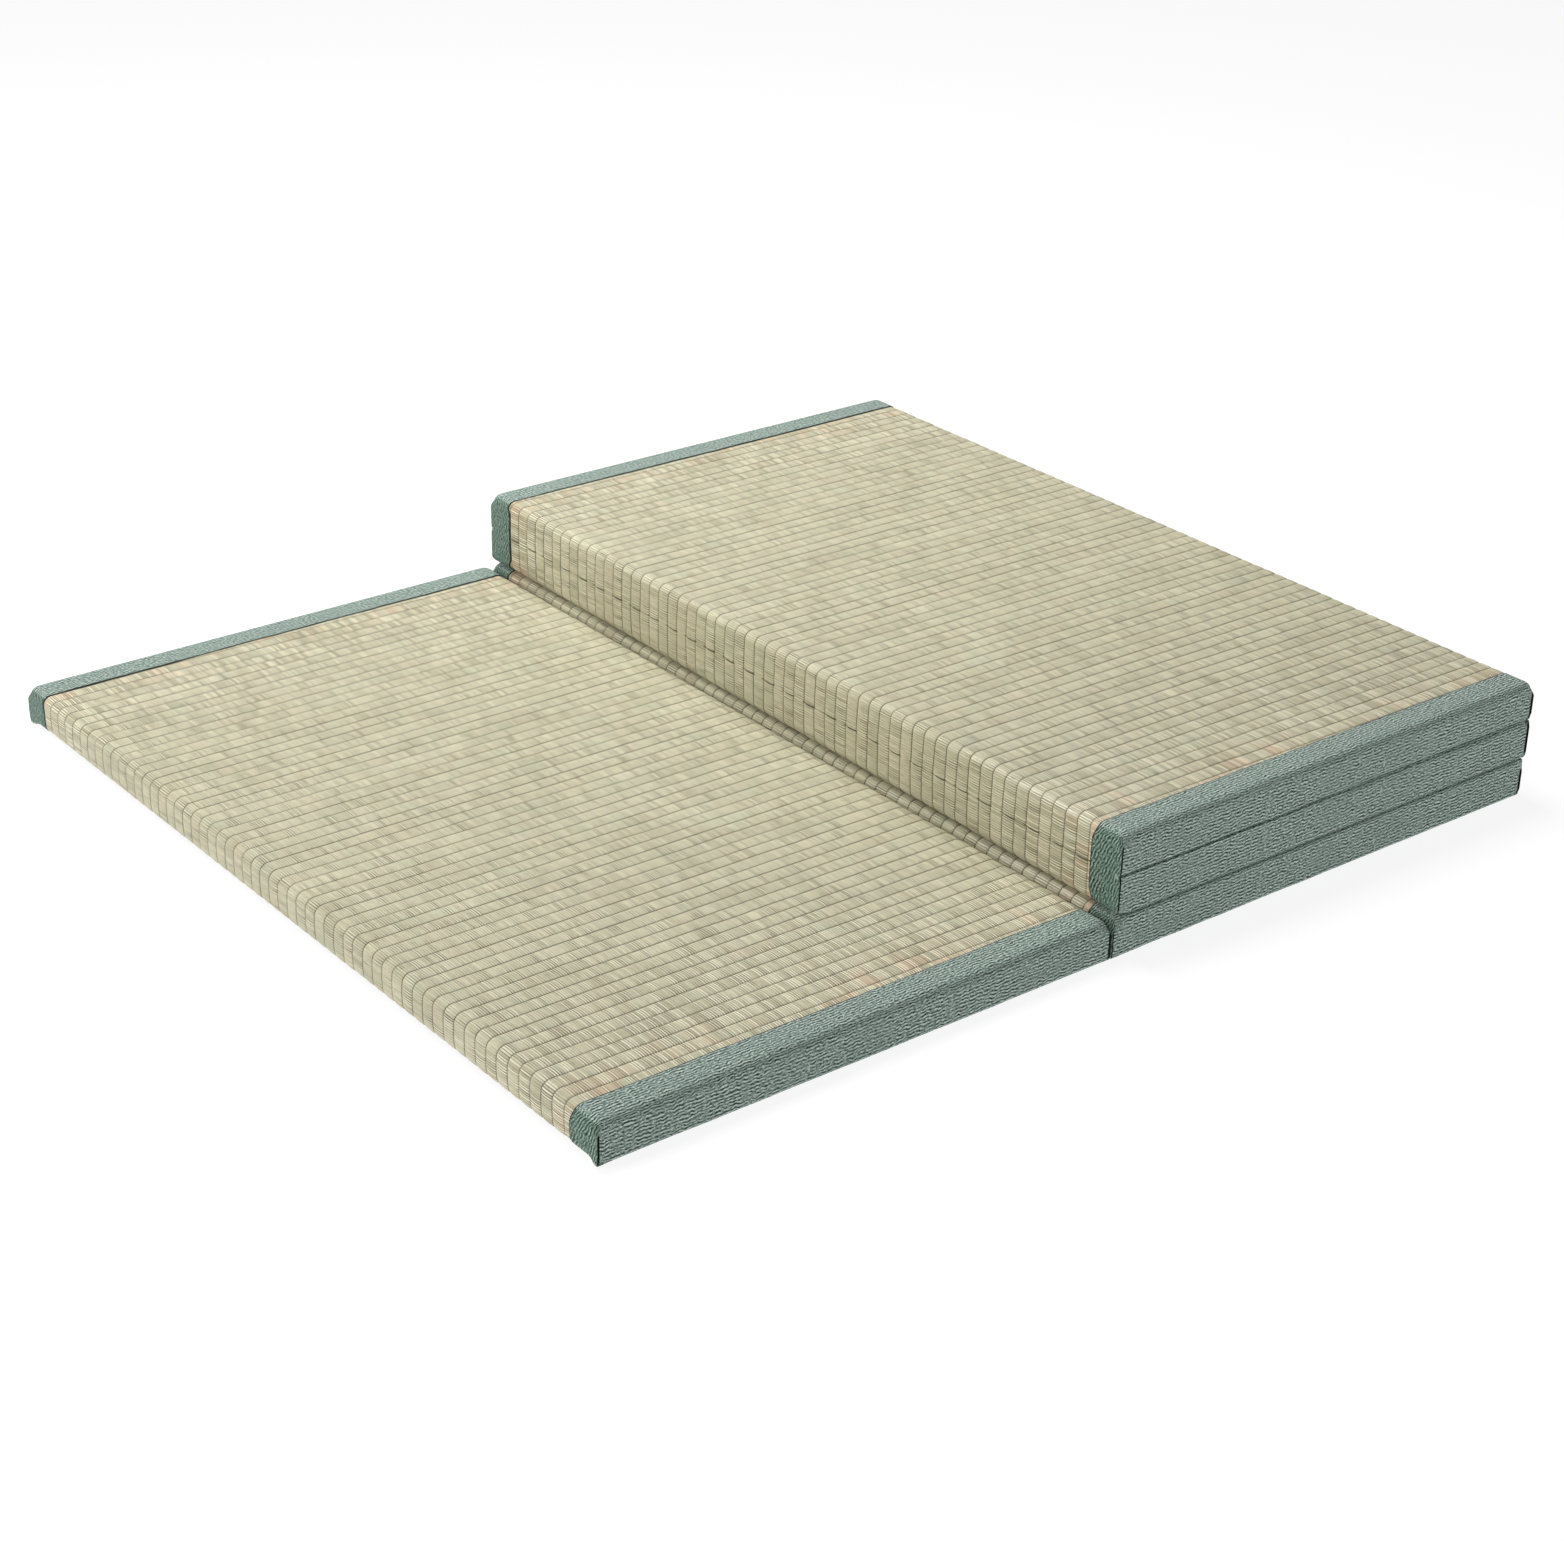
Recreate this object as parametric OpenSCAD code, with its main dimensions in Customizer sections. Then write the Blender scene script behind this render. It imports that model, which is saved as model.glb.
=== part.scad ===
// Folding rush-mat futon mattress. Four stiff pads are joined edge to edge by cloth
// folds, so that they fold in a zigzag. Pad 1 lies flat on the floor, and pads 2, 3
// and 4 are stacked beside it. Pads 1 and 2 join at their backs, pads 2 and 3 at
// their faces, and pads 3 and 4 at their backs.
// The origin is on the floor, at the middle of the crease between pads 1 and 2.
// +X runs across the folds to the stack, +Y along the folds, and +Z up.

/* [Pads] */
// Width of one pad, across the folds
pad_w = 521; // [450:1:600]
// Length of one pad, along the folds
pad_l = 945; // [700:5:1100]
// Thickness of one pad with its covers
pad_t = 38; // [34:1:50]
// Rounding of a pad's soft long edges
edge_r = 9; // [7:0.5:12]
// Rounding of a pad's long edge where a fold is sewn
fold_r = 2.5; // [2:0.5:3]
// Rounding of a pad's ends and corners
end_r = 8; // [7:0.5:10]

/* [Covers] */
// Thickness of the woven rush mat
mat_t = 2.2; // [1.8:0.1:3]
// Thickness of the backing cloth
backing_t = 1.2; // [0.8:0.1:1.6]
// How high the backing cloth turns up a pad's long walls
turn_up = 3; // [2:0.5:6]
// Thickness of the binding cloth and the fold tapes
cloth_t = 0.8; // [0.6:0.1:1]
// How far an end binding reaches over a pad
binding_d = 32; // [26:1:40]
// Thickness of the felt between mat and core
felt_t = 6; // [4:0.5:10]

/* [Folds] */
// Gap between two pads that lie flat side by side
fold_gap = 4; // [3.5:0.5:6]
// Gap between two stacked pads
layer_gap = 0.6; // [0.5:0.1:1]
// How far the upper two pads lie past the lower one
stack_shift = 2; // [1:0.5:3]
// Width of a fold tape
tape_w = 30; // [24:1:40]
// Pitch of the stitches along a fold
stitch_pitch = 30.5; // [24:0.5:40]
// Length of one stitch along a fold
stitch_l = 14; // [6:1:20]

/* [Hidden] */
$fn = 48;
// Clearance between a cover and what it covers
slack = 0.15;
// Depth of each layer under the pad's outer surface
mat_inset = cloth_t + slack;
core_inset = mat_inset + mat_t + slack;
// Smallest corner radius of an inner layer
least_r = 0.5;
// The mat and the backing end this far from a pad's ends, under the bindings
tuck = 12;
// The part of a middle pad's face-fold wall that the mat covers, from the face down
lip = 4;
// Gap between two covers that butt
butt = 0.2;
// Clearance of a fold tape in the recess between two pads
tape_clear = 0.1;
// Thickness of the binding's seam along the pad
seam_w = 1;
// Radius of a stitch's thread
stitch_r = 0.4;

// The upper pads start here, and pads 3 and 4 turn about the fold at their back
stack_x = fold_gap / 2 + stack_shift;
level_3 = pad_t + layer_gap;
level_4 = 2 * level_3;
// Joint axes, all along Y
fold_1_2 = [0, -layer_gap / 2];
fold_2_3 = [fold_gap + pad_w + stack_shift / 2, pad_t + layer_gap / 2];
fold_3_4 = [stack_x - fold_gap / 2, 2 * pad_t + 1.5 * layer_gap];
// Length of what runs between the two bindings of a pad
open_l = pad_l - 2 * (binding_d + 2 * seam_w);

PADS = [1, 2, 3, 4];
MIDDLE_PADS = [2, 3];
NEAR = -1;
FAR = 1;

function is_middle(pad) = len(search(pad, MIDDLE_PADS)) > 0;

// A rectangle w by h with its own radius at each corner: [low left, low right, high right, high left]
module rounded(w, h, r) {
    polygon([
        [r[0], 0], [w - r[1], 0], [w, r[1]], [w, h - r[2]],
        [w - r[2], h], [r[3], h], [0, h - r[3]], [0, r[0]]
    ]);
    translate([r[0], r[0]]) circle(r[0]);
    translate([w - r[1], r[1]]) circle(r[1]);
    translate([w - r[2], h - r[2]]) circle(r[2]);
    translate([r[3], h - r[3]]) circle(r[3]);
}

// A pad's cross-section, across the folds, at a depth under its outer surface.
// The back is at 0 and the face at pad_t. The fold at the back is on the left.
module section(pad, inset) {
    far_r = is_middle(pad) ? fold_r : edge_r;
    radii = [for (r = [fold_r, edge_r, far_r, edge_r]) max(r - inset, least_r)];
    translate([inset, inset])
        rounded(pad_w - 2 * inset, pad_t - 2 * inset, radii);
}

// A cross-section drawn out along the folds
module along(length) {
    rotate([90, 0, 0]) linear_extrude(length, center = true) children();
}

// A whole pad at a depth under its outer surface, rounded on every side
module pad_solid(pad, inset) {
    r = max(end_r - inset, least_r);
    radii = [r, r, r, r];
    intersection() {
        along(pad_l - 2 * inset) section(pad, inset);
        translate([inset, inset - pad_l / 2, 0])
            linear_extrude(pad_t) rounded(pad_w - 2 * inset, pad_l - 2 * inset, radii);
        translate([0, inset - pad_l / 2, inset])
            rotate([90, 0, 90])
            linear_extrude(pad_w) rounded(pad_l - 2 * inset, pad_t - 2 * inset, radii);
    }
}

// Puts a pad, made with its back down and its back fold on the left, in its place
module place(pad) {
    if (pad == 1) mirror([1, 0, 0]) translate([fold_gap / 2, 0, 0]) children();
    if (pad == 2) translate([fold_gap / 2, 0, 0]) children();
    if (pad == 3) translate([stack_x, 0, level_3 + pad_t]) mirror([0, 0, 1]) children();
    if (pad == 4) translate([stack_x, 0, level_4]) children();
}

// Stiff board that keeps a pad flat
module core_board(pad) {
    color("tan") place(pad) intersection() {
        pad_solid(pad, core_inset);
        translate([0, -pad_l / 2, 0]) cube([pad_w, pad_l, pad_t - core_inset - felt_t]);
    }
}

// Felt on the board's face, under the mat
module felt_pad(pad) {
    color("beige") place(pad) intersection() {
        pad_solid(pad, core_inset);
        translate([0, -pad_l / 2, pad_t - core_inset - felt_t])
            cube([pad_w, pad_l, core_inset + felt_t]);
    }
}

// Where the mat lies: the face, and the walls down to the backing.
// On a middle pad it stops just under the face fold, on the right.
module mat_reach(pad) {
    foot = turn_up + butt;
    wide = is_middle(pad) ? pad_w / 2 : pad_w;
    translate([0, foot]) square([wide, pad_t - foot]);
    translate([0, pad_t - lip]) square([pad_w, lip]);
}

// Woven rush mat over a pad's face and long walls
module rush_mat(pad) {
    color("darkkhaki") place(pad) along(pad_l - 2 * tuck) intersection() {
        difference() {
            section(pad, mat_inset);
            section(pad, mat_inset + mat_t);
        }
        mat_reach(pad);
    }
}

// Where the backing lies: under the pad, and up a middle pad's wall at the face fold
module backing_reach(pad) {
    square([pad_w, turn_up]);
    if (is_middle(pad)) translate([pad_w / 2, 0]) square([pad_w / 2, pad_t - lip - butt]);
}

// Cloth under a pad
module backing_cloth(pad) {
    color("gainsboro") place(pad) along(pad_l - 2 * tuck) intersection() {
        difference() {
            section(pad, mat_inset);
            section(pad, mat_inset + backing_t);
        }
        backing_reach(pad);
    }
}

// Green cloth cap over one end of a pad
module binding(pad, end) {
    color("cadetblue") place(pad) intersection() {
        difference() {
            pad_solid(pad, 0);
            pad_solid(pad, cloth_t);
        }
        translate([0, end * (pad_l - binding_d) / 2, pad_t / 2])
            translate([pad_w / 2, 0, 0]) cube([pad_w, binding_d, pad_t], center = true);
    }
}

// Thread that sews a binding's edge down on the mat
module seam_thread(pad, end) {
    seam_y = pad_l / 2 - binding_d - seam_w / 2;
    color("darkslategray") place(pad)
        translate([0, end * seam_y, 0]) along(seam_w) difference() {
            section(pad, slack);
            section(pad, cloth_t);
        }
}

// Tape sewn under pads 1 and 2, flat across their crease
module fold_tape_1_2() {
    color("silver")
        along(open_l)
        translate([-tape_w / 2, tape_clear])
        square([tape_w, cloth_t - tape_clear]);
}

// Cross-section of a strip that turns back on itself round the end of a layer gap.
// Its outside is at 0, and its two legs run to the right.
module turned_strip() {
    outer_h = layer_gap + 2 * cloth_t;
    inner_h = layer_gap + 2 * tape_clear;
    difference() {
        translate([0, -outer_h / 2]) square([tape_w / 2, outer_h]);
        translate([cloth_t - tape_clear, -inner_h / 2]) square([tape_w / 2, inner_h]);
    }
}

// Strip of mat that turns from pad 2's face to pad 3's face
module fold_strip_2_3() {
    outside = stack_x + pad_w + tape_clear + cloth_t;
    color("darkkhaki") along(open_l)
        translate([outside, fold_2_3[1]]) mirror([1, 0]) turned_strip();
}

// Tape that turns from pad 3's back to pad 4's back
module fold_tape_3_4() {
    color("silver") along(open_l)
        translate([stack_x + tape_clear, fold_3_4[1]]) turned_strip();
}

// A row of stitches along Y, at a place across the folds
module stitch_row(at) {
    count = floor((open_l - stitch_l) / stitch_pitch);
    color("darkslategray")
        for (k = [0:count])
            translate([at[0], (k - count / 2) * stitch_pitch, at[1]])
                rotate([90, 0, 0]) cylinder(h = stitch_l, r = stitch_r, center = true, $fn = 16);
}

// Stitches over tape 1-2, in the crease between the two pads
module fold_stitching_1_2() {
    stitch_row([0, cloth_t + stitch_r]);
}

// Stitches on the outside of strip 2-3
module fold_stitching_2_3() {
    stitch_row([stack_x + pad_w + tape_clear + cloth_t + stitch_r, fold_2_3[1]]);
}

// Stitches on the outside of tape 3-4
module fold_stitching_3_4() {
    stitch_row([stack_x + tape_clear - stitch_r, fold_3_4[1]]);
}

for (p = PADS) {
    core_board(p);
    felt_pad(p);
    rush_mat(p);
    backing_cloth(p);
    binding(p, NEAR);
    binding(p, FAR);
    seam_thread(p, NEAR);
    seam_thread(p, FAR);
}
fold_tape_1_2();
fold_strip_2_3();
fold_tape_3_4();
fold_stitching_1_2();
fold_stitching_2_3();
fold_stitching_3_4();
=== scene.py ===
import math

import bmesh
import bpy
import numpy as np
from mathutils import Matrix, Vector

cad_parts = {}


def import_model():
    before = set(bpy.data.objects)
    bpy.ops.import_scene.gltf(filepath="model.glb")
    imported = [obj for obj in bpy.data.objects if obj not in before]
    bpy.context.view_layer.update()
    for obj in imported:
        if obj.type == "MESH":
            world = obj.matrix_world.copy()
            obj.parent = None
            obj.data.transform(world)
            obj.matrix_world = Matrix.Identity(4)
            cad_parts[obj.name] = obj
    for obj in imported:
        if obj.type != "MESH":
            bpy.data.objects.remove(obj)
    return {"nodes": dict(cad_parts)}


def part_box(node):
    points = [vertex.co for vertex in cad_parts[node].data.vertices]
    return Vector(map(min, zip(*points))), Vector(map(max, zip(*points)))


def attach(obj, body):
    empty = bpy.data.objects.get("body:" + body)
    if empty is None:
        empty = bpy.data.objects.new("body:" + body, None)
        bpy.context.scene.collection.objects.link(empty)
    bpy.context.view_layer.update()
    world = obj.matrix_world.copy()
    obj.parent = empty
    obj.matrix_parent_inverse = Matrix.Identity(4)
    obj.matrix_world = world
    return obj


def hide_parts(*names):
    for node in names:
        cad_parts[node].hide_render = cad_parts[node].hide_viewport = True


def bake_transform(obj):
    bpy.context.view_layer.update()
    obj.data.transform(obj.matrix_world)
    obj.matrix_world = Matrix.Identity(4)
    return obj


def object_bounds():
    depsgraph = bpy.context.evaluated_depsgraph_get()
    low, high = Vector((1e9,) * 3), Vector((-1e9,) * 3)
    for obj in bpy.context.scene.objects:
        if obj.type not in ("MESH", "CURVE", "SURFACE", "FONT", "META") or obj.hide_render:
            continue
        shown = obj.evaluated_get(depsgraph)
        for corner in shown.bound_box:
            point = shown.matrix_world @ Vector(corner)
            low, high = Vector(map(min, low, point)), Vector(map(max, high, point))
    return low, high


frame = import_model()
cad_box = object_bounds()

# The looks of a folding rush mattress: four stiff pads in a zigzag, faced with ribbed
# woven rush and bound with green cloth. Pads, layers and folds are measured off the CAD
# frame. Lengths in this script are in millimetres until a mesh is placed.
MM = 0.001
PADS = (1, 2, 3, 4)
NEAR, FAR = -1, 1
SIDE = {NEAR: "near", FAR: "far"}

# Pad 1 has its back fold at its high-x side, and pad 3 lies with its back up
FOLD_AT_HIGH_X = (1,)
FACE_DOWN = (3,)
# Pads whose far wall carries the face fold, which is sewn close under the face
MIDDLE = (2, 3)

# Rounding of the pads' edges. The two pads of the stitched fold are nearly square there.
FOLD_R = 2.5
STITCHED_FOLD_R = 0.3
STITCHED = (3, 4)
EDGE_R = 9.0
END_R_FACE = 8.0
END_R_PRESSED = 3.6
END_R_BACK = 1.7
# The stitched pads' ends round off more toward their open side
END_R_OPEN = 4.2
POST_R = 0.7

# Woven rush
RIB = 15.25
STEM = 2.4
STITCH = 14.0
# The ribs lie a little askew, and are in line with the ends this far from the back fold
WEAVE_SLANT = 0.0155
SLANT_FROM = 123.0
ROW_PHASES = (0, 0.05, 0.12, 0.25, 0.5, 0.75, 0.88, 0.95)
CROWN_DEPTH = 0.3
GROOVE = 0.95
PRESSED_DEPTH = 1.15
MAT_UNDERSIDE = 2.35

# Binding cloth
CLOTH = 0.8
WALL_REACH = 3.5
SLIT_TOP = 27.0
SLIT_WIDTH = 2.3
CREASE_SLIT_WIDTH = 1.3
SLIT_DEPTH = 5.5
CREASE_FLARE = 1.6
# How far the covers of the stitched pads reach past their backs, where they meet
MEET_RUSH = 0.42
MEET_CLOTH = 0.3
WEAVE_LEAN = 0.4
ROW = 3.2

# Sewing: the stitch pitch along a cap's edge, and the radius of each thread
EDGE_STITCH = 4.2
STITCH_R = 0.42
TACK_R = 0.36

# The thread along a cap's edge: how far past the edge and how deep it lies, and its radius
THREAD_PAST_EDGE = 0.95
THREAD_DEPTH = 1.05
THREAD_R = 0.56

# Depth and thickness of the backing cloth, and the thickness of the fold strips
BACKING_DEPTH = 1.05
BACKING_T = 0.7
STRIP_T = 0.62
STRIP_PROUD = 0.25

# How far the walls belly out, and how far from the edges the felt thins
BULGE = 0.9
FELT_EDGE = 9

# Height of the covers' edges up a pad's walls, and how far under its face those of a middle
# pad end on its far wall
RUSH_FOOT = 3.2
BACKING_FOOT = 3.0
RUSH_UNDER_FACE = 4.0
BACKING_UNDER_FACE = 4.4

WAY_X = np.array([1.0, 0.0, 0.0])
WAY_Y = np.array([0.0, 1.0, 0.0])

# Where each kind of piece starts its seeds for lumps
RUSH_SEED, BACKING_SEED, CAP_SEED, FELT_SEED = 20, 40, 60, 80


# ---- small helpers


def mix(a, b, t):
    return a + (b - a) * t


def ease(start, end, x):
    """0 before start, 1 after end, and smooth between them. Start may be the larger one."""
    t = np.clip((np.asarray(x, float) - start) / (end - start), 0, 1)
    return t * t * (3 - 2 * t)


def lumps(a, b, size, seed):
    """Smooth noise from -1 to 1 over two coordinates, with lumps of about that size."""
    n = 64
    lattice = np.random.default_rng(seed).uniform(-1, 1, (n, n))
    a, b = np.broadcast_arrays(np.asarray(a, float) / size, np.asarray(b, float) / size)
    i, j = np.floor(a).astype(int), np.floor(b).astype(int)
    s, t = ease(0, 1, a - i), ease(0, 1, b - j)
    low = mix(lattice[i % n, j % n], lattice[(i + 1) % n, j % n], s)
    high = mix(lattice[i % n, (j + 1) % n], lattice[(i + 1) % n, (j + 1) % n], s)
    return mix(low, high, t)


def link(name, data):
    """A new object in the scene."""
    obj = bpy.data.objects.new(name, data)
    bpy.context.scene.collection.objects.link(obj)
    return obj


def add_object(name, vertices, faces, uv=None, uv_name="cloth", **marks):
    """A smooth-shaded mesh from vertices in millimetres. uv holds one pair for each face corner,
    and each mark is a number from 0 to 1 for each vertex, which a material reads by its name."""
    mesh = bpy.data.meshes.new(name)
    mesh.from_pydata(np.asarray(vertices, float) * MM, [], faces)
    mesh.polygons.foreach_set("use_smooth", [True] * len(mesh.polygons))
    if uv is not None:
        layer = mesh.uv_layers.new(name=uv_name)
        layer.data.foreach_set("uv", np.asarray(uv, np.float32).ravel())
    for mark, values in marks.items():
        mesh.attributes.new(mark, "FLOAT", "POINT").data.foreach_set("value", values)
    mesh.update()
    return link(name, mesh)


def grid_of(points, first=0):
    """Vertex numbers for rows of points."""
    return first + np.arange(points[..., 0].size).reshape(points.shape[:2])


def quads(index, closed=False):
    """Quads over a grid of vertex numbers. They face the way of columns x rows."""
    right = np.roll(index, -1, axis=1) if closed else index[:, 1:]
    left = index if closed else index[:, :-1]
    corners = [left[:-1], right[:-1], right[1:], left[1:]]
    return np.stack([c.ravel() for c in corners], axis=1)


# ---- where each pad is


class Pad:
    """A pad's own frame: u across from its back fold, y along the folds, h up from its back."""

    def __init__(self, number):
        self.number = number
        self.body = f"pad_{number}"
        self.middle = number in MIDDLE
        near_lo, near_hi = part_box(f"near_binding_{number}")
        self.width = (near_hi.x - near_lo.x) / MM
        self.thick = (near_hi.z - near_lo.z) / MM
        self.half_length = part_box(f"far_binding_{number}")[1].y / MM
        self.mat_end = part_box(f"rush_mat_{number}")[1].y / MM
        self.reach = (near_hi.y - near_lo.y) / MM
        self.fold_x = (near_hi.x if number in FOLD_AT_HIGH_X else near_lo.x) / MM
        self.across = -1 if number in FOLD_AT_HIGH_X else 1
        self.back_z = (near_hi.z if number in FACE_DOWN else near_lo.z) / MM
        self.up = -1 if number in FACE_DOWN else 1
        self.far_top_r = FOLD_R if self.middle else EDGE_R
        self.stitched = number in STITCHED
        self.fold_r = STITCHED_FOLD_R if self.stitched else FOLD_R

    def place(self, u, y, h):
        x = self.fold_x + self.across * np.asarray(u, float)
        z = self.back_z + self.up * np.asarray(h, float)
        return np.stack(np.broadcast_arrays(x, np.asarray(y, float), z), axis=-1)

    def outward(self, faces, end=1):
        """The same faces, turned round where the pad is a mirror image."""
        if self.across * self.up * end > 0:
            return faces
        return [face[::-1] for face in faces]

    def outline(self):
        """The pad's outline across the folds, clockwise from the middle of its back: u, h, and
        the direction out of it."""
        w, t = self.width, self.thick
        corners = [
            (self.fold_r, self.fold_r, self.fold_r, 270),
            (EDGE_R, t - EDGE_R, EDGE_R, 180),
            (w - self.far_top_r, t - self.far_top_r, self.far_top_r, 90),
            (w - EDGE_R, EDGE_R, EDGE_R, 0),
        ]
        rows = [(w / 2, 0, 0, -1, 0)]
        for u, h, r, first in corners:
            for angle in np.radians(np.linspace(first, first - 90, 91)):
                c, s = math.cos(angle), math.sin(angle)
                rows.append((u + r * c, h + r * s, c, s, 1 / r))
        rows.append((w / 2, 0, 0, -1, 0))
        rows = np.array(rows)
        s = np.concatenate([[0], np.cumsum(np.hypot(*np.diff(rows[:, :2], axis=0).T))])
        return s, rows

    def strip_of_outline(self, start, end, step, bend_steps=4.2):
        """Samples of the outline from one length to another, closer together in its bends."""
        s, rows = self.outline()
        fine = np.linspace(start, end, 20000)
        u, h, nu, nh, bend = (np.interp(fine % s[-1], s, rows[:, k]) for k in range(5))
        spacing = np.cumsum(1 / step + bend_steps * bend) * (fine[1] - fine[0])
        spacing -= spacing[0]
        marks = np.linspace(0, spacing[-1], int(spacing[-1]) + 2)
        out = [np.interp(marks, spacing, column) for column in (fine - start, u, h, nu, nh)]
        out[3:] = out[3] / np.hypot(out[3], out[4]), out[4] / np.hypot(out[3], out[4])
        return out

    def length_at(self, h, far_side):
        """How far along the outline one of its walls first reaches a height."""
        s, rows = self.outline()
        on_side = rows[:, 0] > self.width / 2 if far_side else rows[:, 0] < self.width / 2
        pick = np.where(on_side & (rows[:, 1] <= self.thick / 2 + 1e-6))[0]
        pick = pick[np.argsort(rows[pick, 1])]
        if h <= rows[pick[-1], 1]:
            return float(np.interp(h, rows[pick, 1], s[pick]))
        last = pick[-1]
        return float(s[last] + (h - rows[last, 1]) * (-1 if far_side else 1))

    def far_edge(self, foot, under_face):
        """How far along the outline a cover's edge lies on the far wall."""
        if not self.middle:
            return self.length_at(foot, far_side=True)
        return self.length_at(self.thick / 2, far_side=True) - (self.thick / 2 - under_face)


pads = {number: Pad(number) for number in PADS}


# ---- node materials


class Shader:
    """A short way to write a node material."""

    def __init__(self, name, sheen, specular):
        self.material = bpy.data.materials.new(name)
        self.material.use_nodes = True
        self.tree = self.material.node_tree
        self.out = self.tree.nodes["Principled BSDF"]
        self.out.inputs["Sheen Weight"].default_value = sheen
        self.out.inputs["Sheen Roughness"].default_value = 0.5
        self.out.inputs["Specular IOR Level"].default_value = specular

    def put(self, socket, value):
        if isinstance(value, bpy.types.NodeSocket):
            self.tree.links.new(value, socket)
        else:
            socket.default_value = value

    def add(self, kind, *values, **settings):
        """A node, with its settings and the values or links of its first sockets."""
        made = self.tree.nodes.new("ShaderNode" + kind)
        for name, setting in settings.items():
            setattr(made, name, setting)
        for socket, value in zip(made.inputs, values):
            self.put(socket, value)
        return made

    def math(self, operation, *values):
        return self.add("Math", *values, operation=operation).outputs[0]

    def plus(self, a, b):
        return self.math("ADD", a, b)

    def minus(self, a, b):
        return self.math("SUBTRACT", a, b)

    def times(self, a, b):
        return self.math("MULTIPLY", a, b)

    def over(self, a, b):
        return self.math("DIVIDE", a, b)

    def span(self, value, low, high, to_low=0.0, to_high=1.0):
        values = value, low, high, to_low, to_high
        return self.add("MapRange", *values, interpolation_type="SMOOTHSTEP").outputs[0]

    def vector(self, x=0.0, y=0.0, z=0.0):
        return self.add("CombineXYZ", x, y, z).outputs[0]

    def split(self, vector, scale=1000.0):
        made = self.add("VectorMath", vector, operation="SCALE")
        made.inputs["Scale"].default_value = scale
        return self.add("SeparateXYZ", made.outputs[0]).outputs

    def uv(self, name):
        return self.split(self.add("UVMap", uv_map=name).outputs[0], 1.0)

    def attribute(self, name):
        return self.add("Attribute", attribute_name=name).outputs["Fac"]

    def place(self):
        return self.split(self.add("TexCoord").outputs["Object"])

    def noise(self, x=0.0, y=0.0, z=0.0, detail=2.0, rough=0.5, warp=0.0):
        made = self.add("TexNoise", self.vector(x, y, z))
        made.inputs["Scale"].default_value = 1.0
        made.inputs["Detail"].default_value = detail
        made.inputs["Roughness"].default_value = rough
        made.inputs["Distortion"].default_value = warp
        return made.outputs[0]

    def dice(self, x, y=0.0, z=0.0):
        return self.add("TexWhiteNoise", self.vector(x, y, z)).outputs["Value"]

    def ramp(self, value, *stops):
        made = self.add("ValToRGB", value)
        colours = made.color_ramp.elements
        while len(colours) < len(stops):
            colours.new(0.5)
        for element, (position, colour) in zip(colours, stops):
            element.position = position
            element.color = (*srgb(colour), 1)
        return made.outputs[0]

    def blend(self, share, a, b, kind="MIX"):
        made = self.add("Mix", share, data_type="RGBA", blend_type=kind)
        for socket, value in zip(made.inputs[6:8], (a, b)):
            self.put(socket, (*srgb(value), 1) if isinstance(value, tuple) else value)
        return made.outputs[2]

    def finish(self, colour, height, rough):
        """height is in millimetres."""
        self.tree.links.new(colour, self.out.inputs["Base Color"])
        self.tree.links.new(rough, self.out.inputs["Roughness"])
        bump = self.tree.nodes.new("ShaderNodeBump")
        bump.inputs["Strength"].default_value = 1.0
        bump.inputs["Distance"].default_value = MM
        self.tree.links.new(height, bump.inputs["Height"])
        self.tree.links.new(bump.outputs[0], self.out.inputs["Normal"])
        return self.material


def srgb(colour):
    """Linear light from a colour given as 0 to 255."""
    out = []
    for part in colour:
        part = part / 255
        out.append(part / 12.92 if part <= 0.04045 else ((part + 0.055) / 1.055) ** 2.4)
    return tuple(out)


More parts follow.
